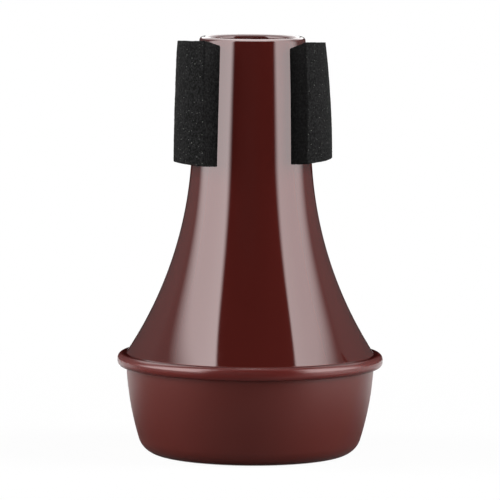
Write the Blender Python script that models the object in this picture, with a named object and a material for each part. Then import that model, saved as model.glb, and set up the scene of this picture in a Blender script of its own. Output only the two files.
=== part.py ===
"""Straight mute for a trumpet: a flared body, a base cup and three foam strips round the neck.

Metres, +Z up. The origin is at the middle of the base and the front faces -Y.
Run with: blender --background --python part.py
"""

import math

import bmesh
import bpy
from mathutils import Matrix, Vector

# Overall sizes
OVERALL_HEIGHT = 0.140
CUP_RADIUS = 0.0415
CUP_HEIGHT = 0.0295
MOUTH_RADIUS = 0.0177
WALL = 0.0026
CLEARANCE = 0.0003

# Neck and flare: a straight taper that runs into one long arc
NECK_TAPER = math.radians(3.5)
FLARE_RADIUS = 0.131

# Bead round the wide mouth, and the ledge in it that stands on the cup's rim
BEAD_HEIGHT = 0.0045
BEAD_PROUD = 0.0030
BEAD_TOP_ROUND = 0.0019
BEAD_FOOT_ROUND = 0.0018
LEDGE_THICKNESS = 0.0015

# Base cup: a wall that bows out a little, a rounded foot and a shallow recess underneath
CUP_DRAFT = math.radians(3)
CUP_CROWN_RADIUS = 0.102
CUP_FOOT_RADIUS = 0.0073
RIM_ROUND = 0.0005
RECESS_RADIUS = 0.0235
RECESS_DEPTH = 0.0006
RECESS_RAMP = 0.0012

# Foam strips: flat strips stuck round the neck by hand, at these angles from the front. A lean turns
# a strip anticlockwise as it is seen from outside. A foot cut is the length that a strip's left and
# right edges lack at the foot, and one below zero is the length they have over.
PAD_ANGLES = {"left": math.radians(-59.2), "right": math.radians(66.3), "rear": math.radians(183)}
PAD_LEANS = {"left": math.radians(2.6), "right": math.radians(-2.6), "rear": 0.0}
PAD_LENGTH = 0.0404
PAD_WIDTH = 0.0181
PAD_THICKNESS = 0.0064
PAD_DROPS = {"left": 0.0013, "right": 0.0016, "rear": 0.0013}
PAD_FOOT_CUTS = {"left": (0.0001, -0.0012), "right": (0.0, 0.0018), "rear": (0.0, 0.0)}
PAD_EDGE_ROUND = 0.0005
PAD_EDGE_RELAX = 0.4
PAD_END_RAKES = {"left": 0.0015, "right": 0.0021, "rear": 0.0015}
PAD_END_NIP = 0.0006
PAD_NIP_LENGTH = 0.009
TAPE_THICKNESS = 0.0002

# Places that follow from the sizes above
BEAD_TOP = CUP_HEIGHT + BEAD_HEIGHT
BEAD_RADIUS = CUP_RADIUS + BEAD_PROUD
LEDGE_HEIGHT = BEAD_TOP - LEDGE_THICKNESS
RIM_TOP = LEDGE_HEIGHT - CLEARANCE
CUP_BORE = CUP_RADIUS - WALL
TAPE_OFFSET = CLEARANCE
PAD_OFFSET = TAPE_OFFSET + TAPE_THICKNESS + CLEARANCE
PAD_MIDDLE = PAD_OFFSET + PAD_THICKNESS / 2
PAD_FACE = PAD_OFFSET + PAD_THICKNESS

# Fineness of the meshes
TURN_STEPS = 64
FLARE_STEPS = 14
LIP_STEPS = 8
ROUND_STEPS = 4
CROWN_STEPS = 5
FOOT_STEPS = 6
PAD_COLUMNS = 12
PAD_ROWS = 8
SMOOTH_ANGLE = math.radians(35)


def remove_scene_objects():
    for item in list(bpy.data.objects):
        bpy.data.objects.remove(item, do_unlink=True)


def make_material(name, colour, roughness, metallic=0.0):
    material = bpy.data.materials.new(name)
    material.use_nodes = True
    shader = material.node_tree.nodes["Principled BSDF"]
    shader.inputs["Base Color"].default_value = (*colour, 1.0)
    shader.inputs["Roughness"].default_value = roughness
    shader.inputs["Metallic"].default_value = metallic
    return material


def add_object(name, mesh_builder, material):
    mesh = bpy.data.meshes.new(name)
    mesh_builder.to_mesh(mesh)
    mesh_builder.free()
    mesh.shade_smooth()
    mesh.set_sharp_from_angle(angle=SMOOTH_ANGLE)
    mesh.materials.append(material)
    item = bpy.data.objects.new(name, mesh)
    bpy.context.scene.collection.objects.link(item)
    return item


def polar(centre, radius, angle):
    return centre + radius * Vector((math.cos(angle), math.sin(angle)))


def arc(centre, radius, start, end, steps):
    """Points of an arc in the (radius, height) plane, both ends included."""
    return [polar(centre, radius, start + (end - start) * i / steps) for i in range(steps + 1)]


def rounded_corner(before, corner, after, radius):
    """Points of the fillet that rounds a corner of an outline."""
    back = (before - corner).normalized()
    ahead = (after - corner).normalized()
    half = back.angle(ahead) / 2
    centre = corner + (back + ahead).normalized() * radius / math.sin(half)
    first = corner + back * radius / math.tan(half) - centre
    last = corner + ahead * radius / math.tan(half) - centre
    start = math.atan2(first.y, first.x)
    turn = (math.atan2(last.y, last.x) - start + math.pi) % (2 * math.pi) - math.pi
    return arc(centre, radius, start, start + turn, ROUND_STEPS)


def turned_solid(name, outline, material):
    """Spins a closed outline of (radius, height) points once round the Z axis."""
    turned = bmesh.new()
    points = [turned.verts.new((point.x, 0, point.y)) for point in outline]
    edges = [turned.edges.new((point, points[i - 1])) for i, point in enumerate(points)]
    bmesh.ops.spin(
        turned, geom=points + edges, cent=(0, 0, 0), axis=(0, 0, 1), dvec=(0, 0, 0),
        angle=2 * math.pi, steps=TURN_STEPS, use_merge=True, use_duplicate=False,
    )
    bmesh.ops.remove_doubles(turned, verts=turned.verts, dist=1e-6)
    bmesh.ops.recalc_face_normals(turned, faces=turned.faces)
    return add_object(name, turned, material)


def lip_centre():
    """Middle of the full round at the neck's open end."""
    return Vector((MOUTH_RADIUS - WALL / 2, OVERALL_HEIGHT - WALL / 2))


def flare_arc():
    """Centre of the flare's arc and the height where the straight neck runs into it.

    The arc is tangent to the neck and ends where the outer skin meets the top of the bead.
    """
    down = Vector((math.sin(NECK_TAPER), -math.cos(NECK_TAPER)))
    outward = Vector((math.cos(NECK_TAPER), math.sin(NECK_TAPER)))
    top = lip_centre() + outward * WALL / 2
    span = Vector((CUP_RADIUS, BEAD_TOP)) - top
    rise = span.dot(outward)
    straight = span.dot(down) - math.sqrt(2 * FLARE_RADIUS * rise - rise * rise)
    tangent = top + down * straight
    return tangent + outward * FLARE_RADIUS, tangent.y


def flare_points(inset, end_radius):
    """Points down the flare, on the surface that lies `inset` inside the outer skin."""
    centre, _ = flare_arc()
    radius = FLARE_RADIUS + inset
    start = math.pi + NECK_TAPER
    end = math.pi + math.acos((centre.x - end_radius) / radius)
    return arc(centre, radius, start, end, FLARE_STEPS)


def body_outline():
    """The body from inside the lip, over it and down the outside, round the bead and up the bore."""
    centre, _ = flare_arc()
    lip = arc(lip_centre(), WALL / 2, math.pi + NECK_TAPER, NECK_TAPER, LIP_STEPS)
    outside = flare_points(0, CUP_RADIUS)
    bead_top = Vector((BEAD_RADIUS, BEAD_TOP))
    bead_foot = Vector((BEAD_RADIUS, CUP_HEIGHT))
    skirt_foot = Vector((CUP_RADIUS + CLEARANCE, CUP_HEIGHT))
    ledge_outer = Vector((CUP_RADIUS + CLEARANCE, LEDGE_HEIGHT))
    drop = centre.y - LEDGE_HEIGHT
    arc_at_ledge = centre.x - math.sqrt((FLARE_RADIUS + WALL) ** 2 - drop ** 2)
    ledge_inner = Vector((min(CUP_BORE, arc_at_ledge), LEDGE_HEIGHT))
    inside = flare_points(WALL, ledge_inner.x)
    bead = rounded_corner(outside[-1], bead_top, bead_foot, BEAD_TOP_ROUND)
    bead += rounded_corner(bead_top, bead_foot, skirt_foot, BEAD_FOOT_ROUND)
    return lip + outside + bead + [skirt_foot, ledge_outer, ledge_inner] + inside[::-1]


def cup_arcs(inset):
    """Points down the cup's wall and round its foot, on the skin that lies `inset` inside."""
    top = Vector((CUP_RADIUS, CUP_HEIGHT))
    crown = polar(top, CUP_CROWN_RADIUS, math.pi - CUP_DRAFT)
    drop = crown.y - CUP_FOOT_RADIUS
    foot = Vector((crown.x + math.sqrt((CUP_CROWN_RADIUS - CUP_FOOT_RADIUS) ** 2 - drop ** 2), CUP_FOOT_RADIUS))
    meet = math.atan2(foot.y - crown.y, foot.x - crown.x)
    wall = arc(crown, CUP_CROWN_RADIUS - inset, -CUP_DRAFT, meet, CROWN_STEPS)
    corner = arc(foot, CUP_FOOT_RADIUS - inset, meet, -math.pi / 2, FOOT_STEPS)
    return wall + corner[1:]


def cup_outline():
    """The cup from its rim down the outside, under the recessed base and back up the inside."""
    rim_outer = Vector((CUP_RADIUS, RIM_TOP))
    rim_inner = Vector((CUP_BORE, RIM_TOP))
    outside = cup_arcs(0)
    inside = cup_arcs(WALL)
    rim = rounded_corner(inside[0], rim_inner, rim_outer, RIM_ROUND)
    rim += rounded_corner(rim_inner, rim_outer, outside[0], RIM_ROUND)
    base = [
        Vector((RECESS_RADIUS + RECESS_RAMP, 0)),
        Vector((RECESS_RADIUS, RECESS_DEPTH)),
        Vector((0, RECESS_DEPTH)),
        Vector((0, WALL)),
    ]
    return rim + outside + base + inside[::-1]


def skin_at(height):
    """Radius of the body's outer skin at a height, and the skin's outward normal there."""
    centre, tangent_height = flare_arc()
    if height >= tangent_height:
        normal = Vector((math.cos(NECK_TAPER), math.sin(NECK_TAPER)))
        start = lip_centre() + normal * WALL / 2
        return start.x + (start.y - height) * math.tan(NECK_TAPER), normal
    rise = centre.y - height
    radius = centre.x - math.sqrt(FLARE_RADIUS ** 2 - rise ** 2)
    return radius, (centre - Vector((radius, height))) / FLARE_RADIUS


def bend_round_neck(place, across, down, out):
    """Place round the neck of a point across a flat strip, down it and out from the neck.

    The stuck face starts lower than the outer face, because the top end is cut at a rake. The
    sides draw back a little from a true bend, so the outer face isn't fully stretched.
    """
    rake = PAD_END_RAKES[place] * (1 - out / PAD_FACE) * (1 - down / PAD_LENGTH)
    level = OVERALL_HEIGHT - PAD_DROPS[place] - down - rake
    radius, normal = skin_at(level)
    stretch = (radius + out) / (radius + PAD_MIDDLE)
    turn = across * (PAD_EDGE_RELAX + (1 - PAD_EDGE_RELAX) * stretch) / (radius + out)
    angle = PAD_ANGLES[place] + turn
    reach = radius + normal.x * out
    return Vector((reach * math.sin(angle), -reach * math.cos(angle), level + normal.y * out))


def nipped(out, down):
    """Height in the foam of a point, which is a little thinner towards its top end."""
    share = max(0.0, 1 - down / PAD_NIP_LENGTH)
    return out - PAD_END_NIP * share ** 2 * out / PAD_THICKNESS


def trimmed(across, up, place):
    """Height on a flat strip of a point, once the foot is cut along a line that isn't quite square."""
    share = across / PAD_WIDTH + 0.5
    left, right = PAD_FOOT_CUTS[place]
    return up * (1 - (left + (right - left) * share) / PAD_LENGTH)


def strip_solid(name, place, offset, thickness, edge_round, material):
    """A flat strip of foam or tape, turned to its lean and bent round the neck at its place."""
    strip = bmesh.new()
    bmesh.ops.create_grid(strip, x_segments=PAD_COLUMNS, y_segments=PAD_ROWS, size=0.5)
    bmesh.ops.scale(strip, vec=(PAD_WIDTH, PAD_LENGTH, 1), verts=strip.verts)
    bmesh.ops.translate(strip, vec=(0, -PAD_LENGTH / 2, 0), verts=strip.verts)
    raised = bmesh.ops.extrude_face_region(strip, geom=strip.faces[:])
    top = [part for part in raised["geom"] if isinstance(part, bmesh.types.BMVert)]
    bmesh.ops.translate(strip, vec=(0, 0, thickness), verts=top)
    bmesh.ops.recalc_face_normals(strip, faces=strip.faces)
    if edge_round:
        rim = [
            edge for edge in strip.edges
            if edge.calc_face_angle() > math.pi / 4 and max(v.co.z for v in edge.verts) > thickness / 2
        ]
        bmesh.ops.bevel(
            strip, geom=rim, offset=edge_round, offset_type="OFFSET", affect="EDGES",
            segments=2, profile=0.5, material=-1,
        )
        for vert in strip.verts:
            vert.co.z = nipped(vert.co.z, -vert.co.y)
    for vert in strip.verts:
        vert.co.y = trimmed(vert.co.x, vert.co.y, place)
    bmesh.ops.rotate(
        strip, cent=(0, -PAD_LENGTH / 2, 0), matrix=Matrix.Rotation(PAD_LEANS[place], 3, "Z"),
        verts=strip.verts,
    )
    for vert in strip.verts:
        across, up, out = vert.co
        vert.co = bend_round_neck(place, across, -up, out + offset)
    return add_object(name, strip, material)


def make_body():
    gloss = make_material("gloss_wine_abs", (0.062, 0.010, 0.009), 0.12)
    return turned_solid("flared_body", body_outline(), gloss)


def make_cup():
    satin = make_material("satin_wine_abs", (0.065, 0.017, 0.014), 0.45)
    return turned_solid("base_cup", cup_outline(), satin)


def make_pads():
    for place in PAD_ANGLES:
        foam = make_material(f"black_foam_{place}", (0.018, 0.018, 0.019), 0.9)
        tape = make_material(f"tape_{place}", (0.03, 0.03, 0.03), 0.6)
        strip_solid(f"foam_pad_{place}", place, PAD_OFFSET, PAD_THICKNESS, PAD_EDGE_ROUND, foam)
        strip_solid(f"pad_tape_{place}", place, TAPE_OFFSET, TAPE_THICKNESS, 0, tape)


def main():
    remove_scene_objects()
    make_body()
    make_cup()
    make_pads()


if __name__ == "__main__":
    main()
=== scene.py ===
"""Straight mute for a trumpet: the finished look of its mouldings and foam strips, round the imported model.

Run as a script it makes every piece, the studio and the camera. The sizes and colours that a user would
change are properties of the scene, and each group of pieces has its own operator in the 3D view's sidebar.
"""

import math

import bmesh
import bpy
from bpy.props import FloatProperty, FloatVectorProperty, IntProperty, PointerProperty
from mathutils import Matrix, Quaternion, Vector, noise


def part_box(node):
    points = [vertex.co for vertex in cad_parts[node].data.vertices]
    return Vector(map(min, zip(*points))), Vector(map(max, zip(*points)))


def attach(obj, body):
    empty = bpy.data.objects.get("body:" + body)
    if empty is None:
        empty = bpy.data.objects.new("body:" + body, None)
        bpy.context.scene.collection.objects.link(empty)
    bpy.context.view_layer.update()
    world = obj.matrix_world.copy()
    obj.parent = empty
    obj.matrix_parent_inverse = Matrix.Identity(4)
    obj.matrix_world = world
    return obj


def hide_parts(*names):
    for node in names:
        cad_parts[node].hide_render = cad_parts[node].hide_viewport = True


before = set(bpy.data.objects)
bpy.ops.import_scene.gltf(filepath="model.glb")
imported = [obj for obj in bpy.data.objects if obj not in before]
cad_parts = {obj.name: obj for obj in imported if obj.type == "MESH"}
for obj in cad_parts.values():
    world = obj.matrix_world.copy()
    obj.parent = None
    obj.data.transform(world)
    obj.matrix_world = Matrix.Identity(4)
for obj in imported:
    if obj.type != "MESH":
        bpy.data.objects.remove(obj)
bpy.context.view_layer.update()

bl_info = {
    "name": "Trumpet Mute",
    "version": (1, 0, 0),
    "blender": (4, 5, 0),
    "location": "View3D > Sidebar > Mute",
    "description": "Makes the finished look of a straight trumpet mute round its packed model",
    "category": "Add Mesh",
}

BODY_LOW, BODY_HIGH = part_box("flared_body")
CUP_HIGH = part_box("base_cup")[1]

MM = 0.001
TAPE_SPACING = 1 * MM

# The strips, stuck on by hand at these angles from the front, each with its own small faults, in millimetres
# and degrees. The lean turns a strip anticlockwise, as seen from outside. The drop is how far its top lies
# under the lip, and the rake is how much lower its stuck face starts than its outer one. The cut is how much
# shorter its left and right edges are at the foot. The faces are how far its outer face stands off the neck
# at the top, middle and foot. The tone is how light its cut sides are painted beside its skin: partly the cut
# cells' own look and partly painted shade, so each strip has its own. The skew is how far its foot lies to
# the right of square.
STRIPS = {
    "left": {
        "angle": -59.2, "lean": 2.6, "drop": 1.3, "rake": 1.5, "cut": (0.1, -1.2),
        "faces": (7.5, 7.25, 6.5), "tone": 0.88, "skew": 0.0,
    },
    "right": {
        "angle": 66.3, "lean": -2.6, "drop": 1.6, "rake": 2.1, "cut": (0.0, 1.8),
        "faces": (6.7, 7.4, 7.05), "tone": 0.45, "skew": -0.6,
    },
    "rear": {
        "angle": 183, "lean": 0, "drop": 1.3, "rake": 1.5, "cut": (0.0, 0.0),
        "faces": (6.9, 7.3, 6.8), "tone": 0.8, "skew": 0.0,
    },
}


def linear(hex_code):
    """A colour written as sRGB hex, turned to the linear values that shaders take."""
    values = [int(hex_code[i:i + 2], 16) / 255 for i in (1, 3, 5)]
    return [v / 12.92 if v <= 0.04045 else ((v + 0.055) / 1.055) ** 2.4 for v in values]


def length(name, description, default):
    """A property that holds a size in metres."""
    return FloatProperty(
        name=name, description=description, default=default, min=0, precision=5, unit="LENGTH",
    )


def angle(name, description, degrees):
    """A property that holds an angle."""
    return FloatProperty(name=name, description=description, default=math.radians(degrees), subtype="ANGLE")


def colour(name, description, hex_code):
    """A property that holds a colour, given as sRGB hex."""
    return FloatVectorProperty(
        name=name, description=description, default=linear(hex_code), min=0, max=1, size=3, subtype="COLOR",
    )


class MuteMouldingSizes(bpy.types.PropertyGroup):
    height: length("Height", "From the base to the top of the neck's lip", BODY_HIGH.z)
    mouth_radius: length("Mouth radius", "Outside radius of the neck at its open end", 17.7 * MM)
    wall: length("Wall", "Thickness of both mouldings", 2.6 * MM)
    neck_taper: angle("Neck taper", "How far each side of the straight neck leans out", 3.5)
    flare_radius: length("Flare radius", "Radius of the long arc between the neck and the bead", 131 * MM)
    bead_radius: length("Bead radius", "From the axis to the outside of the bead", BODY_HIGH.x)
    bead_foot: length("Bead foot", "Height of the bead's lower face", BODY_LOW.z)
    bead_height: length("Bead height", "From the bead's lower face to its upper one", 4.5 * MM)
    bead_top_round: length("Bead top round", "Radius of the bead's upper edge", 1.9 * MM)
    bead_foot_round: length("Bead foot round", "Radius of the bead's lower edge", 1.8 * MM)
    ledge: length("Ledge", "Thickness of the ledge in the bead that stands on the cup's rim", 1.5 * MM)
    seat_gap: length("Seat gap", "Cement line between the bead's skirt and the cup's rim", 0.3 * MM)
    cup_radius: length("Cup radius", "Outside radius of the cup's wall at the bead", CUP_HIGH.x)
    cup_rim: length("Cup rim", "Height of the cup's rim inside the bead", CUP_HIGH.z)
    cup_draft: angle("Cup draft", "How far the cup's wall leans in just under the bead", 3)
    cup_crown: length("Cup crown", "Radius of the cup wall's slight bow", 102 * MM)
    cup_foot: length("Cup foot", "Radius of the round between the cup's wall and its base", 7.3 * MM)
    rim_round: length("Rim round", "Radius of the edges of the cup's rim", 0.5 * MM)
    recess_radius: length("Recess radius", "Radius of the shallow recess under the cup", 23.5 * MM)
    recess_depth: length("Recess depth", "Depth of the recess under the cup", 0.6 * MM)
    recess_ramp: length("Recess ramp", "Width of the slope at the edge of the recess", 1.2 * MM)
    gate_radius: length("Gate mark radius", "Radius of the trimmed gate left by the moulding", 1.6 * MM)
    gate_height: length("Gate mark height", "How far the trimmed gate stands down in the recess", 0.25 * MM)
    turn_steps: IntProperty(
        name="Steps", description="Faces round each moulding", default=256, min=32, max=512,
    )


class MuteStripSizes(bpy.types.PropertyGroup):
    length: length("Length", "Length of each foam strip", 40.4 * MM)
    width: length("Width", "Width of each foam strip when flat", 18.1 * MM)
    edge_relax: FloatProperty(
        name="Edge relax", description="Share of a true bend that the foam's sides don't follow",
        default=0.4, min=0, max=1, subtype="FACTOR",
    )
    edge_round: length("Edge round", "Radius of the strip's worn edges", 0.3 * MM)
    tape: length("Tape", "Thickness of the adhesive tape behind each strip", 0.2 * MM)
    tape_inset: length("Tape inset", "How far the tape stops short of the foam's edges", 0.5 * MM)
    film: length("Film", "Clear space left at each stuck face", 0.03 * MM)
    spacing: length("Mesh spacing", "Spacing of the mesh that carries the foam's texture", 0.25 * MM)
    cell: length("Cell", "Width of the cells that show on the foam's skin", 0.75 * MM)
    pit: length("Pit", "Depth of the pits between the cells", 0.07 * MM)
    sway: length("Sway", "How far the cut faces wander from true", 0.10 * MM)


class MuteColours(bpy.types.PropertyGroup):
    gloss: colour("Body", "Wine red of the polished body", "#3e1411")
    # The bead's wine red is lighter and redder than the body's.
    bead: colour("Bead", "Wine red of the bead, where more light sinks in", "#4d1916")
    satin: colour("Cup", "Wine red of the satin cup", "#481c18")
    foam: colour("Foam", "Black of the foam strips", "#0c0c0c")
    speck: colour("Specks", "Grey of the dust and open cells on the foam", "#83837e")
    tape: colour("Tape", "Black of the adhesive tape", "#1c1c1c")
    floor: colour("Floor", "Pale floor", "#ececec")


def add_node(tree, kind, settings=None, sockets=None):
    """Adds one node, with its settings and with a value or a link for each named or numbered socket."""
    node = tree.nodes.new(kind)
    for name, value in (settings or {}).items():
        setattr(node, name, value)
    for name, value in (sockets or {}).items():
        if isinstance(value, bpy.types.NodeSocket):
            tree.links.new(value, node.inputs[name])
        else:
            node.inputs[name].default_value = value
    return node


def new_material(name):
    """An empty material and its node tree."""
    material = bpy.data.materials.new(name)
    material.use_nodes = True
    material.node_tree.nodes.clear()
    return material, material.node_tree


def add_surface(tree, kind, sockets, output="ShaderNodeOutputMaterial"):
    """Adds the shader that a material or a world ends in, and joins it to the output."""
    shader = add_node(tree, kind, {}, sockets)
    add_node(tree, output, {}, {"Surface": shader.outputs[0]})


def per_metre(size):
    """A texture's scale on Object coordinates, from the size of one grain of it in metres."""
    return 1 / size


def gloss_abs(colours, bead_top):
    """Injection-moulded ABS from a polished mould.

    To the eye it is a deep colour under a hard, clear reflection, which a very slight flow of the surface
    bends a little. Its reflections are tinted a little pink. The bead is coloured a lighter, redder wine
    and is less polished, so its reflections are softer.
    """
    bead_roughness = 0.23
    material, tree = new_material("polished_wine_abs")
    place = add_node(tree, "ShaderNodeTexCoord").outputs["Object"]
    flow = add_node(tree, "ShaderNodeTexNoise", {}, {
        "Vector": place, "Scale": per_metre(14 * MM), "Detail": 1.0, "Roughness": 0.4,
    })
    ripple = add_node(tree, "ShaderNodeBump", {}, {
        "Height": flow.outputs["Fac"], "Strength": 0.05, "Distance": 0.12 * MM,
    })
    haze = add_node(tree, "ShaderNodeTexNoise", {}, {
        "Vector": place, "Scale": per_metre(3 * MM), "Detail": 4.0,
    })
    polish = add_node(tree, "ShaderNodeMapRange", {}, {
        "Value": haze.outputs["Fac"], "To Min": 0.045, "To Max": 0.085,
    })
    rise = add_node(tree, "ShaderNodeSeparateXYZ", {}, {"Vector": place})
    on_bead = add_node(tree, "ShaderNodeMapRange", {"interpolation_type": "SMOOTHSTEP"}, {
        "Value": rise.outputs["Z"], "From Min": bead_top - 0.2 * MM, "From Max": bead_top + 0.3 * MM,
        "To Min": 1, "To Max": 0,
    })
    roughness = add_node(tree, "ShaderNodeMix", {"data_type": "FLOAT"}, {
        "Factor": on_bead.outputs["Result"], "A": polish.outputs["Result"], "B": bead_roughness,
    })
    pigment = add_node(tree, "ShaderNodeMapRange", {}, {
        "Value": flow.outputs["Fac"], "To Min": 0.96, "To Max": 1.04,
    })
    tone = add_node(tree, "ShaderNodeHueSaturation", {}, {
        "Value": pigment.outputs["Result"], "Color": (*colours.gloss, 1),
    })
    wine = add_node(tree, "ShaderNodeMix", {"data_type": "RGBA"}, {
        "Factor": on_bead.outputs["Result"], "A": tone.outputs["Color"], "B": (*colours.bead, 1),
    })
    add_surface(tree, "ShaderNodeBsdfPrincipled", {
        "Base Color": wine.outputs["Result"], "Roughness": roughness.outputs["Result"],
        "Normal": ripple.outputs["Normal"], "IOR": 1.58, "Specular Tint": (*linear("#ffefef"), 1),
    })
    return material


def satin_abs(colours):
    """Injection-moulded ABS from a spark-eroded mould.

    To the eye it is the same plastic with its gloss broken up: a fine even grain, and highlights that
    spread into broad soft gradients.
    """
    material, tree = new_material("satin_wine_abs")
    place = add_node(tree, "ShaderNodeTexCoord").outputs["Object"]
    # The real grain is about 0.1 mm. It is drawn at 0.25 mm, as fine as the render can show.
    grain = add_node(tree, "ShaderNodeTexNoise", {}, {
        "Vector": place, "Scale": per_metre(0.25 * MM), "Detail": 2.0,
    })
    texture = add_node(tree, "ShaderNodeBump", {}, {
        "Height": grain.outputs["Fac"], "Strength": 0.12, "Distance": 0.05 * MM,
    })
    wear = add_node(tree, "ShaderNodeTexNoise", {}, {
        "Vector": place, "Scale": per_metre(9 * MM), "Detail": 3.0,
    })
    roughness = add_node(tree, "ShaderNodeMapRange", {}, {
        "Value": wear.outputs["Fac"], "To Min": 0.28, "To Max": 0.36,
    })
    add_surface(tree, "ShaderNodeBsdfPrincipled", {
        "Base Color": (*colours.satin, 1), "Roughness": roughness.outputs["Result"],
        "Normal": texture.outputs["Normal"], "IOR": 1.39,
    })
    return material


def black_foam(colours, sizes):
    """Closed-cell foam, cut with a blade from a sheet.

    To the eye it is a soft black with no gloss, mottled by cells a little paler at their rims, with a few
    pale specks where a cell lies open or holds dust. The strip's tone attribute, 1 on its skin and less on
    its cut sides, makes those sides darker and cleaner; the darkening is partly the cut cells' own look and
    partly painted shade, set strip by strip.
    """
    material, tree = new_material("black_closed_cell_foam")
    place = add_node(tree, "ShaderNodeTexCoord").outputs["Object"]
    cells = add_node(tree, "ShaderNodeTexVoronoi", {"feature": "F1"}, {
        "Vector": place, "Scale": per_metre(sizes.cell),
    })
    mottle = add_node(tree, "ShaderNodeTexNoise", {}, {
        "Vector": place, "Scale": per_metre(0.7 * MM), "Detail": 2.0, "Roughness": 0.7,
    })
    mottled = add_node(tree, "ShaderNodeMapRange", {}, {
        "Value": mottle.outputs["Fac"], "From Min": 0.42, "From Max": 0.68, "To Min": 0.3, "To Max": 3.3,
    })
    # The tone attribute darkens the cut sides: partly the cut cells' own look, partly painted shade.
    tone = add_node(tree, "ShaderNodeAttribute", {"attribute_name": "tone"})
    shade = add_node(tree, "ShaderNodeMath", {"operation": "MULTIPLY"}, {
        0: mottled.outputs["Result"], 1: tone.outputs["Fac"],
    })
    skin = add_node(tree, "ShaderNodeHueSaturation", {}, {
        "Value": shade.outputs["Value"], "Color": (*colours.foam, 1),
    })
    specks = add_node(tree, "ShaderNodeTexVoronoi", {"feature": "F1"}, {
        "Vector": place, "Scale": per_metre(0.9 * MM),
    })
    chance = add_node(tree, "ShaderNodeSeparateXYZ", {}, {"Vector": specks.outputs["Color"]})
    brightest = add_node(tree, "ShaderNodeMapRange", {"interpolation_type": "SMOOTHSTEP"}, {
        "Value": chance.outputs["X"], "From Min": 0.3, "From Max": 1.3,
    })
    speck = add_node(tree, "ShaderNodeMapRange", {"interpolation_type": "SMOOTHSTEP"}, {
        "Value": specks.outputs["Distance"], "From Min": 0.08, "From Max": 0.2,
        "To Min": brightest.outputs["Result"], "To Max": 0,
    })
    dusty = add_node(tree, "ShaderNodeMapRange", {}, {
        "Value": tone.outputs["Fac"], "From Min": 0.88, "From Max": 1, "To Min": 0.15, "To Max": 1,
    })
    dust = add_node(tree, "ShaderNodeMath", {"operation": "MULTIPLY"}, {
        0: speck.outputs["Result"], 1: dusty.outputs["Result"],
    })
    speckled = add_node(tree, "ShaderNodeMix", {"data_type": "RGBA"}, {
        "Factor": dust.outputs["Value"], "A": skin.outputs["Color"], "B": (*colours.speck, 1),
    })
    relief = add_node(tree, "ShaderNodeBump", {}, {
        "Height": cells.outputs["Distance"], "Strength": 0.55, "Distance": 0.12 * MM,
    })
    add_surface(tree, "ShaderNodeBsdfPrincipled", {
        "Base Color": speckled.outputs["Result"], "Roughness": 0.92, "Normal": relief.outputs["Normal"],
        "IOR": 1.45, "Specular IOR Level": 0.12,
    })
    return material


def adhesive_tape(colours):
    """Double-sided tape with an acrylic adhesive, rolled from a reel.

    To the eye it is a thin black line behind the foam, with faint streaks along its length.
    """
    material, tree = new_material("acrylic_adhesive_tape")
    place = add_node(tree, "ShaderNodeTexCoord").outputs["Object"]
    stretched = add_node(tree, "ShaderNodeMapping", {}, {"Vector": place, "Scale": (1, 1, 0.1)})
    streaks = add_node(tree, "ShaderNodeTexNoise", {}, {
        "Vector": stretched.outputs["Vector"], "Scale": per_metre(0.6 * MM), "Detail": 2.0,
    })
    shade = add_node(tree, "ShaderNodeMapRange", {}, {
        "Value": streaks.outputs["Fac"], "To Min": 0.8, "To Max": 1.2,
    })
    tone = add_node(tree, "ShaderNodeHueSaturation", {}, {
        "Value": shade.outputs["Result"], "Color": (*colours.tape, 1),
    })
    add_surface(tree, "ShaderNodeBsdfPrincipled", {
        "Base Color": tone.outputs["Color"], "Roughness": 0.45, "IOR": 1.47,
    })
    return material


class Outline:
    """Half of a turned piece's section, drawn as with a pen in the XZ plane and then turned round Z."""

    def __init__(self, radius, height):
        self.mesh = bmesh.new()
        self.first = self.mesh.verts.new((radius, 0, height))
        self.last = self.first

    def line_to(self, radius, height):
        """Draws a straight line on to a point."""
        made = bmesh.ops.extrude_vert_indiv(self.mesh, verts=[self.last])
        self.last = made["verts"][0]
        self.last.co = (radius, 0, height)

    def arc_about(self, centre, turn, steps):
        """Draws an arc on about a centre of (radius, height). A positive turn is clockwise."""
        made = bmesh.ops.spin(
            self.mesh, geom=[self.last], cent=(centre[0], 0, centre[1]), axis=(0, 1, 0), dvec=(0, 0, 0),
            angle=turn, steps=steps, use_merge=False, use_duplicate=False,
        )
        self.last = next(part for part in made["geom_last"] if isinstance(part, bmesh.types.BMVert))

    def turned(self, steps):
        """Closes the outline and turns it once round the Z axis."""
        self.mesh.edges.new((self.last, self.first))
        bmesh.ops.spin(
            self.mesh, geom=self.mesh.verts[:] + self.mesh.edges[:], cent=(0, 0, 0), axis=(0, 0, 1),
            dvec=(0, 0, 0), angle=2 * math.pi, steps=steps, use_merge=True, use_duplicate=False,
        )
        bmesh.ops.remove_doubles(self.mesh, verts=self.mesh.verts, dist=0.001 * MM)
        bmesh.ops.recalc_face_normals(self.mesh, faces=self.mesh.faces)
        return self.mesh


def add_object(name, shape, material, smooth_angle):
    """Puts a finished bmesh into the scene, with its place in its mesh."""
    mesh = bpy.data.meshes.new(name)
    shape.to_mesh(mesh)
    shape.free()
    mesh.shade_smooth()
    mesh.set_sharp_from_angle(angle=math.radians(smooth_angle))
    mesh.materials.append(material)
    item = bpy.data.objects.new(name, mesh)
    bpy.context.scene.collection.objects.link(item)
    return item


def add_piece(name, shape, material, node, smooth_angle=40):
    """A piece of the mute that stands for a CAD node and moves with the mute's one body."""
    piece = add_object(name, shape, material, smooth_angle)
    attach(piece, "root")
    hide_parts(node)
    return piece


def polar(centre, radius, turn):
    """The point at this turn on a circle round a centre."""
    return Vector(centre) + radius * Vector((math.cos(turn), math.sin(turn)))


def lip_centre(sizes):
    """Middle of the full round at the neck's open end."""
    return Vector((sizes.mouth_radius - sizes.wall / 2, sizes.height - sizes.wall / 2))


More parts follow.
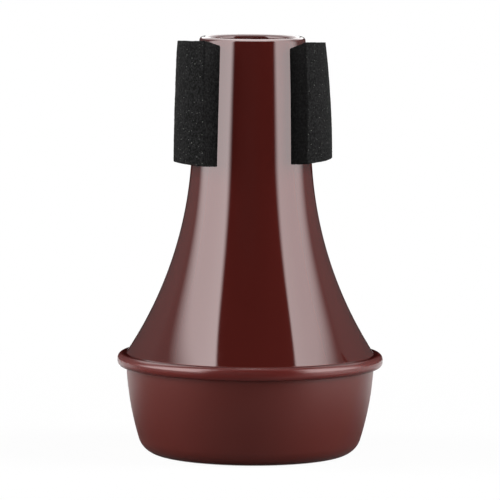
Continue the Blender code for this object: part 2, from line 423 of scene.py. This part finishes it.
def flare_arc(sizes):
    """Centre of the flare's arc, and where the neck's straight skin runs into it.

    The arc is tangent to the neck and ends where the outer skin meets the top of the bead.
    """
    taper = sizes.neck_taper
    down = Vector((math.sin(taper), -math.cos(taper)))
    outward = Vector((math.cos(taper), math.sin(taper)))
    top = lip_centre(sizes) + outward * sizes.wall / 2
    span = Vector((sizes.cup_radius, sizes.bead_foot + sizes.bead_height)) - top
    rise = span.dot(outward)
    straight = span.dot(down) - math.sqrt(2 * sizes.flare_radius * rise - rise * rise)
    tangent = top + down * straight
    return tangent + outward * sizes.flare_radius, tangent


def flare_turn(sizes, centre, radius, end_radius):
    """How far the flare's arc of this radius turns from the neck until it is end_radius from the axis."""
    return math.acos((centre.x - end_radius) / radius) - sizes.neck_taper


def body_shape(sizes):
    """The body, drawn over its lip, down the outside, round the bead and back up the bore."""
    lip_steps, flare_steps, bore_steps, round_steps = 28, 96, 64, 14
    outward = Vector((math.cos(sizes.neck_taper), math.sin(sizes.neck_taper)))
    lip = lip_centre(sizes)
    centre, tangent = flare_arc(sizes)
    bead_top = sizes.bead_foot + sizes.bead_height
    skirt = sizes.cup_radius + sizes.seat_gap
    ledge = bead_top - sizes.ledge
    bore = sizes.flare_radius + sizes.wall
    ledge_inner = centre.x - math.sqrt(bore ** 2 - (centre.y - ledge) ** 2)
    ledge_inner = min(sizes.cup_radius - sizes.wall, ledge_inner)

    outline = Outline(*(lip - outward * sizes.wall / 2))
    outline.arc_about(lip, math.pi, lip_steps)
    outline.line_to(*tangent)
    outline.arc_about(centre, -flare_turn(sizes, centre, sizes.flare_radius, sizes.cup_radius), flare_steps)
    top, foot = sizes.bead_top_round, sizes.bead_foot_round
    outline.line_to(sizes.bead_radius - top, bead_top)
    outline.arc_about((sizes.bead_radius - top, bead_top - top), math.pi / 2, round_steps)
    outline.line_to(sizes.bead_radius, sizes.bead_foot + foot)
    outline.arc_about((sizes.bead_radius - foot, sizes.bead_foot + foot), math.pi / 2, round_steps)
    outline.line_to(skirt, sizes.bead_foot)
    outline.line_to(skirt, ledge)
    turn = flare_turn(sizes, centre, bore, ledge_inner)
    outline.line_to(*polar(centre, bore, math.pi + sizes.neck_taper + turn))
    outline.arc_about(centre, turn, bore_steps)
    return outline.turned(sizes.turn_steps)


def cup_shape(sizes):
    """The cup, drawn over its rim, down the wall, under the recessed base and back up the inside."""
    crown_steps, foot_steps, round_steps = 24, 20, 6
    bore = sizes.cup_radius - sizes.wall
    rim, edge = sizes.cup_rim, sizes.rim_round
    crown = polar((sizes.cup_radius, sizes.bead_foot), sizes.cup_crown, math.pi - sizes.cup_draft)
    reach = math.sqrt((sizes.cup_crown - sizes.cup_foot) ** 2 - (crown.y - sizes.cup_foot) ** 2)
    foot = Vector((crown.x + reach, sizes.cup_foot))
    meet = math.atan2(foot.y - crown.y, foot.x - crown.x)
    wall_turn = -sizes.cup_draft - meet
    foot_turn = meet + math.pi / 2

    outline = Outline(bore, rim - edge)
    outline.arc_about((bore + edge, rim - edge), math.pi / 2, round_steps)
    outline.line_to(sizes.cup_radius - edge, rim)
    outline.arc_about((sizes.cup_radius - edge, rim - edge), math.pi / 2, round_steps)
    outline.line_to(sizes.cup_radius, sizes.bead_foot)
    outline.arc_about(crown, wall_turn, crown_steps)
    outline.arc_about(foot, foot_turn, foot_steps)
    outline.line_to(sizes.recess_radius + sizes.recess_ramp, 0)
    outline.line_to(sizes.recess_radius, sizes.recess_depth)
    outline.line_to(sizes.gate_radius, sizes.recess_depth)
    outline.line_to(sizes.gate_radius, sizes.recess_depth - sizes.gate_height)
    outline.line_to(0, sizes.recess_depth - sizes.gate_height)
    outline.line_to(0, sizes.wall)
    outline.line_to(foot.x, sizes.wall)
    outline.arc_about(foot, -foot_turn, foot_steps)
    outline.arc_about(crown, -wall_turn, crown_steps)
    return outline.turned(sizes.turn_steps)


def skin_at(sizes, height):
    """Radius of the body's outer skin at a height, and the skin's outward normal there."""
    centre, tangent = flare_arc(sizes)
    if height >= tangent.y:
        normal = Vector((math.cos(sizes.neck_taper), math.sin(sizes.neck_taper)))
        start = lip_centre(sizes) + normal * sizes.wall / 2
        return start.x + (start.y - height) * math.tan(sizes.neck_taper), normal
    drop = centre.y - height
    radius = centre.x - math.sqrt(sizes.flare_radius ** 2 - drop ** 2)
    return radius, (centre - Vector((radius, height))) / sizes.flare_radius


def blade_cut_block(width, height, thickness, edge_round, spacing):
    """A flat block with rounded edges and an even mesh.

    Its stuck face lies at z = 0 and its top end at y = 0.
    """
    straight = 0.999
    block = bmesh.new()
    bmesh.ops.create_cube(block, size=1)
    bmesh.ops.scale(block, vec=(width, height, thickness), verts=block.verts)
    bmesh.ops.translate(block, vec=(0, -height / 2, thickness / 2), verts=block.verts)
    if edge_round:
        bmesh.ops.bevel(
            block, geom=block.edges[:], offset=edge_round, offset_type="OFFSET", affect="EDGES",
            segments=3, profile=0.5, material=-1,
        )
    for axis, side in enumerate((width, height, thickness)):
        along = []
        for edge in block.edges:
            step = edge.verts[1].co - edge.verts[0].co
            if abs(step[axis]) > straight * step.length and step.length > 2 * spacing:
                along.append(edge)
        if along:
            bmesh.ops.subdivide_edges(block, edges=along, cuts=round(side / spacing), use_grid_fill=True)
    bmesh.ops.recalc_face_normals(block, faces=block.faces)
    return block


def bend_round_neck(mould, strip, place, across, down, out, face):
    """Place round the neck of a point across a flat strip, down it and out from the neck.

    The stuck face starts lower than the outer face, because the top end is cut at a rake. The sides draw
    back a little from a true bend, so the outer face isn't fully stretched.
    """
    facts = STRIPS[place]
    rake = facts["rake"] * MM * (1 - out / face) * (1 - down / strip.length)
    level = mould.height - facts["drop"] * MM - down - rake
    radius, normal = skin_at(mould, level)
    stretch = (radius + out) / (radius + face / 2)
    bend = across * (strip.edge_relax + (1 - strip.edge_relax) * stretch) / (radius + out)
    turn = math.radians(facts["angle"]) + bend
    reach = radius + normal.x * out
    return Vector((reach * math.sin(turn), -reach * math.cos(turn), level + normal.y * out))


def through(values, share):
    """A smooth curve through three values at the shares 0, a half and 1."""
    first, middle, last = values
    return first + (4 * middle - 3 * first - last) * share + 2 * (first + last - 2 * middle) * share ** 2


def lean_strip(shape, strip, lean):
    """Turns a flat strip in its own plane, about its middle."""
    turn = Matrix.Rotation(math.radians(lean), 3, "Z")
    bmesh.ops.rotate(shape, cent=(0, -strip.length / 2, 0), matrix=turn, verts=shape.verts)


def foam_shape(mould, strip, place):
    """A foam strip bent round the neck, with its thickness as pressed and its skin pitted by its cells."""
    facts = STRIPS[place]
    faces = [value * MM for value in facts["faces"]]
    stuck = strip.film + strip.tape + strip.film
    thickness = faces[1] - stuck
    block = blade_cut_block(strip.width, strip.length, thickness, strip.edge_round, strip.spacing)
    block.normal_update()
    tone = block.verts.layers.float.new("tone")
    seed = Vector((facts["angle"], 0, 0))
    skin_depth = 0.6 * MM
    sway_wave = 6 * MM
    pit_slope = 1.4
    for vert in block.verts:
        at = vert.co
        cell = noise.voronoi(at / strip.cell + seed)[0][0]
        sway = noise.noise(at / sway_wave + seed) * strip.sway
        weight = min(1, at.z / skin_depth)
        # The cut sides get a darker tone: partly the cut cells' own look, partly painted shade set per strip.
        vert[tone] = 1 - (1 - facts["tone"]) * abs(vert.normal.x)
        vert.co = at + vert.normal * weight * (sway - strip.pit * min(1, cell * pit_slope))
    for vert in block.verts:
        across, up, out = vert.co
        share = across / strip.width + 0.5
        short = (facts["cut"][0] * (1 - share) + facts["cut"][1] * share) * MM
        face = through(faces, -up / strip.length)
        across -= facts["skew"] * MM * up / strip.length
        vert.co = (across, up * (1 - short / strip.length), stuck + out * (face - stuck) / thickness)
    lean_strip(block, strip, facts["lean"])
    for vert in block.verts:
        across, up, out = vert.co
        face = through(faces, -up / strip.length)
        vert.co = bend_round_neck(mould, strip, place, across, -up, out, face)
    return block


def tape_shape(mould, strip, place):
    """The tape behind a foam strip, a little smaller than the foam all round."""
    face = STRIPS[place]["faces"][1] * MM
    inset = strip.tape_inset
    longest = strip.length - max(STRIPS[place]["cut"]) * MM
    tape = blade_cut_block(strip.width - 2 * inset, longest - 2 * inset, strip.tape, 0, TAPE_SPACING)
    bmesh.ops.translate(tape, vec=(0, -inset, strip.film), verts=tape.verts)
    lean_strip(tape, strip, STRIPS[place]["lean"])
    for vert in tape.verts:
        across, up, out = vert.co
        vert.co = bend_round_neck(mould, strip, place, across, -up, out, face)
    return tape


class MUTE_OT_body(bpy.types.Operator):
    """Makes the glossy flared body with its lip and bead"""

    bl_idname = "mute.body"
    bl_label = "Flared Body"
    bl_options = {"REGISTER", "UNDO"}

    def execute(self, context):
        scene = context.scene
        sizes = scene.mute_mouldings
        plastic = gloss_abs(scene.mute_colours, sizes.bead_foot + sizes.bead_height)
        add_piece("finished_body", body_shape(sizes), plastic, "flared_body")
        return {"FINISHED"}


class MUTE_OT_cup(bpy.types.Operator):
    """Makes the satin cup that closes the wide end"""

    bl_idname = "mute.cup"
    bl_label = "Base Cup"
    bl_options = {"REGISTER", "UNDO"}

    def execute(self, context):
        scene = context.scene
        shape = cup_shape(scene.mute_mouldings)
        add_piece("finished_cup", shape, satin_abs(scene.mute_colours), "base_cup")
        return {"FINISHED"}


class MUTE_OT_strips(bpy.types.Operator):
    """Makes the three foam strips and the tape behind each"""

    bl_idname = "mute.strips"
    bl_label = "Foam Strips"
    bl_options = {"REGISTER", "UNDO"}

    def execute(self, context):
        scene = context.scene
        mould, strip = scene.mute_mouldings, scene.mute_strips
        foam = black_foam(scene.mute_colours, strip)
        tape = adhesive_tape(scene.mute_colours)
        for place in STRIPS:
            shape = foam_shape(mould, strip, place)
            pad = add_piece(f"foam_{place}", shape, foam, f"foam_pad_{place}", smooth_angle=60)
            pad.visible_glossy = False
            shape = tape_shape(mould, strip, place)
            add_piece(f"tape_{place}", shape, tape, f"pad_tape_{place}")
        return {"FINISHED"}


# The studio. Directions are in degrees round from the camera, to its right, and distances in metres. A soft
# box stands across its facing and leans back, and its edges are directions round from that facing. Its light
# fades in over the inner edge, where the fade is wide near the floor and narrow higher up, and fades out
# between the two outer edges, which slant inwards higher up. Its power is given beside the inner edge and
# beside the outer ones. The fill is the facing and the power of a card that lights the mute for it, because
# the box itself shows only in the gloss.
SOFT_BOXES = {
    "left_soft_box": {
        "facing": -71, "lean": 2, "inner": -29, "outer": (26, 46), "slant": 0.5, "power": (7.5, 5.1),
        "fill": (-85, 11.0),
    },
    "right_soft_box": {
        "facing": 73, "lean": 17.6, "inner": -25.5, "outer": (18.5, 46.5), "slant": 0.08, "power": (6.4, 4.8),
        "fill": (80, 12.2),
    },
}
BOX_DISTANCE = 1.0
BOX_HEIGHT = 2.8
CARD_LIFT = 0.01
INNER_FADE_HEIGHTS = (0.15, 1.2)
INNER_FADE_WIDTHS = (0.26, 0.09)
OUTER_REMAINDER = 0.07

# The fill cards' sizes, and the facing and the power of the one in front.
FILL_WIDTH = 0.65
FILL_HEIGHT = 0.9
FRONT_FILL_HEIGHT = 0.6
FRONT_FILL = (-8, 5.2)

# Curved cards, one on each side of the mute: the direction in which each starts, how far it runs on from
# there, and the heights of its edges. A side card's power falls between two distances behind the mute.
SIDE_CARD_DISTANCE = 2.0
SIDE_CARD = {"start": 94, "turn": 72, "heights": (0.01, 1.2)}
SIDE_CARD_DIMMING = {"From Min": 0.96, "From Max": 1.92, "To Min": 0.37, "To Max": 0.08}
HIGH_CARD = {"start": 112, "turn": 50, "heights": (1.28, 3.36)}
HIGH_CARD_POWERS = {"left": 2.2, "right": 1.2}

# The card overhead: its corners, seen from above, its height and its power.
CEILING_CORNERS = (-0.5, -0.6), (0.5, 0.5)
CEILING_HEIGHT = 1.2
CEILING_POWER = 0.55

# The ring of light over the mouth. Its edge and its hole are each a circle's radius, how wide that circle is
# made, and how far it lies behind the axis. It is brightest over a spot on the front of the lip.
MOUTH_LIGHT_EDGE = (26 * MM, 0.85, 4.5 * MM)
MOUTH_LIGHT_HOLE = (14 * MM, 1.07, -0.6 * MM)
MOUTH_LIGHT_RISE = 3 * MM
MOUTH_LIGHT_SPOT = (0, -18 * MM, BODY_HIGH.z)
MOUTH_LIGHT_DIMMING = {"From Min": 6 * MM, "From Max": 20 * MM, "To Min": 9.0, "To Max": 3.2}

# The dark studio, and the cloth on the floor. The cloth is shaded along one direction, from the front left to
# the back right, and by two rings, where it is darker close to the mute and far from it.
WALL_DISTANCE = 4
WALL_CLOTH = "#191919"
CLOTH_HOLE = 0.0305
CLOTH_LIFT = 0.5 * MM
CLOTH_DIRECTION = (0.5, 0.87, 0)
CLOTH_SHADE = {"From Min": -0.11, "From Max": 0.0, "To Min": 0.03, "To Max": 0.9}
CLOTH_RINGS = (
    {"From Min": 0.05, "From Max": 0.16, "To Min": 0.2, "To Max": 1},
    {"From Min": 0.5, "From Max": 0.8, "To Min": 1, "To Max": 0.04},
)

# The floor's white share grows with the distance from the mute, so the shadow stays near it.
FLOOR_RADIUS = 20
FLOOR_WHITE = {"From Min": 0.06, "From Max": 0.30, "To Min": 0.95, "To Max": 1}
FLOOR_DULLNESS = 0.35

CAMERA_PLACE = (0, -1.4802, 0.2104)
CAMERA_AIM = (-0.0003, 0, 0.0685)
CAMERA_ROLL = 0.43
CAMERA_LENS = 319.7
CAMERA_SENSOR = 36


def direction(azimuth):
    """Level unit vector that points from the mute, this many degrees round from the camera."""
    turn = math.radians(azimuth)
    return Vector((math.sin(turn), -math.cos(turn), 0))


def add_unseen(name, shape, material, diffuse=False, glossy=True):
    """A thing in the studio that the camera never sees: it lights the mute, or shows in its gloss."""
    item = add_object(name, shape, material, smooth_angle=60)
    item.visible_camera = False
    item.visible_shadow = False
    item.visible_diffuse = diffuse
    item.visible_glossy = glossy
    return item


def add_card(name, low, high, material, **seen_by):
    """A flat card between two corners in its own XY plane."""
    card = bmesh.new()
    bmesh.ops.create_grid(card, x_segments=1, y_segments=1, size=0.5)
    bmesh.ops.scale(card, vec=(high[0] - low[0], high[1] - low[1], 1), verts=card.verts)
    middle = ((low[0] + high[0]) / 2, (low[1] + high[1]) / 2, 0)
    bmesh.ops.translate(card, vec=middle, verts=card.verts)
    return add_unseen(name, card, material, **seen_by)


def stand_card(card, facing, lean=0):
    """Stands a card up across a direction, facing the mute and leaning back."""
    out = direction(facing)
    card.rotation_mode = "QUATERNION"
    card.rotation_quaternion = (-out).to_track_quat("Z", "Y") @ Quaternion((1, 0, 0), -math.radians(lean))
    card.location = out * BOX_DISTANCE + Vector((0, 0, CARD_LIFT))


def even_glow(name, power):
    """A plain even light."""
    material, tree = new_material(name)
    add_surface(tree, "ShaderNodeEmission", {"Strength": power})
    return material


def across_box(degrees):
    """How far along a soft box, in metres, a direction this far round from its facing meets it."""
    return BOX_DISTANCE * math.tan(math.radians(degrees))


def soft_box_glow(name, box, side):
    """A soft box's light, brightest near its inner edge, with both edges faded."""
    material, tree = new_material(name)
    place = add_node(tree, "ShaderNodeTexCoord").outputs["Object"]
    parts = add_node(tree, "ShaderNodeSeparateXYZ", {}, {"Vector": place})
    height = parts.outputs["Y"]
    along = add_node(tree, "ShaderNodeMath", {"operation": "MULTIPLY"}, {0: parts.outputs["X"], 1: side})
    inner = across_box(box["inner"])
    first, last = (across_box(value) for value in box["outer"])
    level = add_node(tree, "ShaderNodeMapRange", {}, {
        "Value": along.outputs["Value"], "From Min": inner, "From Max": first,
        "To Min": box["power"][0], "To Max": box["power"][1],
    })
    starts, ends = (
        add_node(tree, "ShaderNodeMapRange", {}, {
            "Value": height, "From Min": INNER_FADE_HEIGHTS[0], "From Max": INNER_FADE_HEIGHTS[1],
            "To Min": inner + half * INNER_FADE_WIDTHS[0], "To Max": inner + half * INNER_FADE_WIDTHS[1],
        }) for half in (-0.5, 0.5)
    )
    fade_in = add_node(tree, "ShaderNodeMapRange", {"interpolation_type": "SMOOTHSTEP"}, {
        "Value": along.outputs["Value"], "From Min": starts.outputs["Result"],
        "From Max": ends.outputs["Result"],
    })
    slanted = add_node(tree, "ShaderNodeMath", {"operation": "MULTIPLY_ADD"}, {
        0: height, 1: box["slant"], 2: along.outputs["Value"],
    })
    fade_out = add_node(tree, "ShaderNodeMapRange", {"interpolation_type": "SMOOTHSTEP"}, {
        "Value": slanted.outputs["Value"], "From Min": first, "From Max": last,
        "To Min": 1, "To Max": OUTER_REMAINDER,
    })
    faded = add_node(tree, "ShaderNodeMath", {"operation": "MULTIPLY"}, {
        0: fade_in.outputs["Result"], 1: fade_out.outputs["Result"],
    })
    power = add_node(tree, "ShaderNodeMath", {"operation": "MULTIPLY"}, {
        0: level.outputs["Result"], 1: faded.outputs["Value"],
    })
    add_surface(tree, "ShaderNodeEmission", {"Strength": power.outputs["Value"]})
    return material


def add_fill(name, facing, height, power):
    """A card that lights the mute evenly and doesn't show in its gloss."""
    low, high = (-FILL_WIDTH / 2, 0), (FILL_WIDTH / 2, height)
    fill = add_card(name, low, high, even_glow(name, power), diffuse=True, glossy=False)
    stand_card(fill, facing)


def add_soft_boxes():
    """The two tall soft boxes whose reflections are the light bands down the body, and the fill cards."""
    for name, box in SOFT_BOXES.items():
        side = 1 if box["facing"] < 0 else -1
        low, high = sorted((
            side * (across_box(box["inner"]) - INNER_FADE_WIDTHS[0] / 2),
            side * across_box(box["outer"][1]),
        ))
        card = add_card(name, (low, 0), (high, BOX_HEIGHT), soft_box_glow(name, box, side))
        stand_card(card, box["facing"], box["lean"])
        facing, power = box["fill"]
        add_fill(name + "_fill", facing, FILL_HEIGHT, power)
    facing, power = FRONT_FILL
    add_fill("front_fill", facing, FRONT_FILL_HEIGHT, power)


def wall_cloth():
    """Plain black cloth on the studio's walls, which gives the gloss its dark parts."""
    material, tree = new_material("wall_cloth")
    add_surface(tree, "ShaderNodeBsdfDiffuse", {"Color": (*linear(WALL_CLOTH), 1)})
    return material


def floor_cloth():
    """The floor as the gloss sees it: pale to the back and right, dark to the front and close to the mute."""
    material, tree = new_material("floor_cloth")
    place = add_node(tree, "ShaderNodeTexCoord").outputs["Object"]
    across = add_node(tree, "ShaderNodeVectorMath", {"operation": "DOT_PRODUCT"}, {
        0: place, 1: CLOTH_DIRECTION,
    })
    away = add_node(tree, "ShaderNodeVectorMath", {"operation": "LENGTH"}, {"Vector": place})
    shade = add_node(tree, "ShaderNodeMapRange", {}, {"Value": across.outputs["Value"], **CLOTH_SHADE})
    for facts in CLOTH_RINGS:
        ring = add_node(tree, "ShaderNodeMapRange", {}, {"Value": away.outputs["Value"], **facts})
        shade = add_node(tree, "ShaderNodeMath", {"operation": "MULTIPLY"}, {
            0: shade.outputs[0], 1: ring.outputs["Result"],
        })
    add_surface(tree, "ShaderNodeBsdfDiffuse", {"Color": shade.outputs["Value"]})
    return material


def add_walls():
    """The dark studio walls, and the cloth that the gloss sees round the mute's foot."""
    walls = bmesh.new()
    bmesh.ops.create_uvsphere(walls, u_segments=48, v_segments=24, radius=WALL_DISTANCE)
    add_unseen("studio_walls", walls, wall_cloth(), diffuse=True)
    ring = bmesh.new()
    bmesh.ops.create_circle(ring, cap_ends=False, segments=96, radius=WALL_DISTANCE)
    made = bmesh.ops.extrude_edge_only(ring, edges=ring.edges[:])
    inner = [part for part in made["geom"] if isinstance(part, bmesh.types.BMVert)]
    shrink = CLOTH_HOLE / WALL_DISTANCE
    bmesh.ops.scale(ring, vec=(shrink, shrink, 1), verts=inner)
    bmesh.ops.translate(ring, vec=(0, 0, CLOTH_LIFT), verts=ring.verts)
    add_unseen("floor_cloth", ring, floor_cloth())


def side_card_glow(name):
    """Light that dims evenly towards the back of the mute."""
    material, tree = new_material(name)
    place = add_node(tree, "ShaderNodeTexCoord").outputs["Object"]
    parts = add_node(tree, "ShaderNodeSeparateXYZ", {}, {"Vector": place})
    power = add_node(tree, "ShaderNodeMapRange", {}, {"Value": parts.outputs["Y"], **SIDE_CARD_DIMMING})
    add_surface(tree, "ShaderNodeEmission", {"Strength": power.outputs["Result"]})
    return material


def add_curved_card(name, side, facts, material):
    """A card on a curve round the mute, on its left, where side is -1, or its right, where side is 1."""
    start = direction(side * facts["start"]) * SIDE_CARD_DISTANCE
    card = bmesh.new()
    corners = [card.verts.new(start + Vector((0, 0, height))) for height in facts["heights"]]
    edge = card.edges.new(corners)
    bmesh.ops.spin(
        card, geom=corners + [edge], cent=(0, 0, 0), axis=(0, 0, side), dvec=(0, 0, 0),
        angle=math.radians(facts["turn"]), steps=16, use_merge=False, use_duplicate=False,
    )
    add_unseen(name, card, material)


def add_cards():
    """Cards that only the gloss sees: at the sides, high up behind and overhead."""
    for name, side in (("left", -1), ("right", 1)):
        low, high = name + "_side_card", name + "_high_card"
        add_curved_card(low, side, SIDE_CARD, side_card_glow(low))
        add_curved_card(high, side, HIGH_CARD, even_glow(high, HIGH_CARD_POWERS[name]))
    ceiling = add_card("ceiling_card", *CEILING_CORNERS, even_glow("ceiling_card", CEILING_POWER))
    ceiling.location = (0, 0, CEILING_HEIGHT)


def mouth_glow():
    """Light that dims with the distance from the front of the lip."""
    material, tree = new_material("mouth_light")
    place = add_node(tree, "ShaderNodeTexCoord").outputs["Object"]
    away = add_node(tree, "ShaderNodeVectorMath", {"operation": "DISTANCE"}, {0: place, 1: MOUTH_LIGHT_SPOT})
    power = add_node(tree, "ShaderNodeMapRange", {}, {"Value": away.outputs["Value"], **MOUTH_LIGHT_DIMMING})
    add_surface(tree, "ShaderNodeEmission", {"Strength": power.outputs["Result"]})
    return material


def add_mouth_light():
    """A ring of light close over the mouth, which only the lip sees: it makes the lip's pale line."""
    ring = bmesh.new()
    for radius, widening, back in (MOUTH_LIGHT_EDGE, MOUTH_LIGHT_HOLE):
        circle = bmesh.ops.create_circle(ring, cap_ends=False, segments=48, radius=radius)["verts"]
        bmesh.ops.scale(ring, vec=(widening, 1, 1), verts=circle)
        bmesh.ops.translate(ring, vec=(0, back, BODY_HIGH.z + MOUTH_LIGHT_RISE), verts=circle)
    bmesh.ops.bridge_loops(ring, edges=ring.edges[:])
    add_unseen("mouth_light", ring, mouth_glow())


def seen_rays(tree):
    """1 for the rays that show the background: camera, glossy and transmission rays."""
    path = add_node(tree, "ShaderNodeLightPath")
    first = add_node(tree, "ShaderNodeMath", {"operation": "MAXIMUM"}, {
        0: path.outputs["Is Camera Ray"], 1: path.outputs["Is Glossy Ray"],
    })
    second = add_node(tree, "ShaderNodeMath", {"operation": "MAXIMUM"}, {
        0: first.outputs["Value"], 1: path.outputs["Is Transmission Ray"],
    })
    return second.outputs["Value"]


def add_floor(colours):
    """A plain pale floor, which keeps the mute's shadow and runs out into the white background.

    Diffuse light meets a duller floor, so that the floor doesn't light the mute from below.
    """
    material, tree = new_material("pale_floor")
    place = add_node(tree, "ShaderNodeTexCoord").outputs["Object"]
    away = add_node(tree, "ShaderNodeVectorMath", {"operation": "LENGTH"}, {"Vector": place})
    white_part = add_node(tree, "ShaderNodeMapRange", {"interpolation_type": "SMOOTHSTEP"}, {
        "Value": away.outputs["Value"], **FLOOR_WHITE,
    })
    seen = seen_rays(tree)
    share = add_node(tree, "ShaderNodeMath", {"operation": "MULTIPLY"}, {
        0: white_part.outputs["Result"], 1: seen,
    })
    dull = [FLOOR_DULLNESS * value for value in colours.floor]
    colour_seen = add_node(tree, "ShaderNodeMix", {"data_type": "RGBA"}, {
        "Factor": seen, "A": (*dull, 1), "B": (*colours.floor, 1),
    })
    paper = add_node(tree, "ShaderNodeBsdfDiffuse", {}, {"Color": colour_seen.outputs["Result"]})
    white = add_node(tree, "ShaderNodeEmission", {}, {"Strength": 1})
    add_surface(tree, "ShaderNodeMixShader", {
        "Fac": share.outputs["Value"], 1: paper.outputs["BSDF"], 2: white.outputs["Emission"],
    })
    shape = bmesh.new()
    bmesh.ops.create_circle(shape, cap_ends=True, segments=96, radius=FLOOR_RADIUS)
    floor = add_object("floor", shape, material, smooth_angle=30)


def light_world():
    """A world that is white where the background shows and gives no light of its own."""
    world = bpy.data.worlds.new("white_background")
    bpy.context.scene.world = world
    world.use_nodes = True
    tree = world.node_tree
    tree.nodes.clear()
    white = {"Color": (1, 1, 1, 1), "Strength": seen_rays(tree)}
    add_surface(tree, "ShaderNodeBackground", white, "ShaderNodeOutputWorld")


def add_camera():
    """The camera at the photograph's place, angle and focal length."""
    data = bpy.data.cameras.new("camera")
    data.lens = CAMERA_LENS
    data.sensor_width = CAMERA_SENSOR
    camera = bpy.data.objects.new("camera", data)
    bpy.context.scene.collection.objects.link(camera)
    aim = (Vector(CAMERA_AIM) - Vector(CAMERA_PLACE)).to_track_quat("-Z", "Y")
    camera.location = CAMERA_PLACE
    camera.rotation_mode = "QUATERNION"
    camera.rotation_quaternion = aim @ Quaternion((0, 0, 1), math.radians(CAMERA_ROLL))
    bpy.context.scene.camera = camera


class MUTE_OT_stage(bpy.types.Operator):
    """Makes the floor, the studio's lights and walls, and the camera"""

    bl_idname = "mute.stage"
    bl_label = "Studio and Camera"
    bl_options = {"REGISTER", "UNDO"}

    def execute(self, context):
        context.scene.view_settings.view_transform = "Standard"
        add_floor(context.scene.mute_colours)
        add_walls()
        add_soft_boxes()
        add_cards()
        add_mouth_light()
        light_world()
        add_camera()
        return {"FINISHED"}


class MUTE_PT_panel(bpy.types.Panel):
    """Lists the mute's sizes and colours, and a button for each group of pieces"""

    bl_idname = "MUTE_PT_panel"
    bl_label = "Trumpet Mute"
    bl_space_type = "VIEW_3D"
    bl_region_type = "UI"
    bl_category = "Mute"

    def draw(self, context):
        scene = context.scene
        for operator in OPERATORS:
            self.layout.operator(operator.bl_idname)
        for group in (scene.mute_mouldings, scene.mute_strips, scene.mute_colours):
            box = self.layout.box()
            for name in group.__annotations__:
                box.prop(group, name)


GROUPS = {
    "mute_mouldings": MuteMouldingSizes,
    "mute_strips": MuteStripSizes,
    "mute_colours": MuteColours,
}
OPERATORS = (MUTE_OT_stage, MUTE_OT_body, MUTE_OT_cup, MUTE_OT_strips)


def register():
    for cls in (*GROUPS.values(), *OPERATORS, MUTE_PT_panel):
        bpy.utils.register_class(cls)
    for name, group in GROUPS.items():
        setattr(bpy.types.Scene, name, PointerProperty(type=group))


def unregister():
    for name in GROUPS:
        delattr(bpy.types.Scene, name)
    for cls in (MUTE_PT_panel, *OPERATORS, *GROUPS.values()):
        bpy.utils.unregister_class(cls)


def main():
    register()
    bpy.ops.mute.stage()
    bpy.ops.mute.body()
    bpy.ops.mute.cup()
    bpy.ops.mute.strips()


if __name__ == "__main__":
    main()
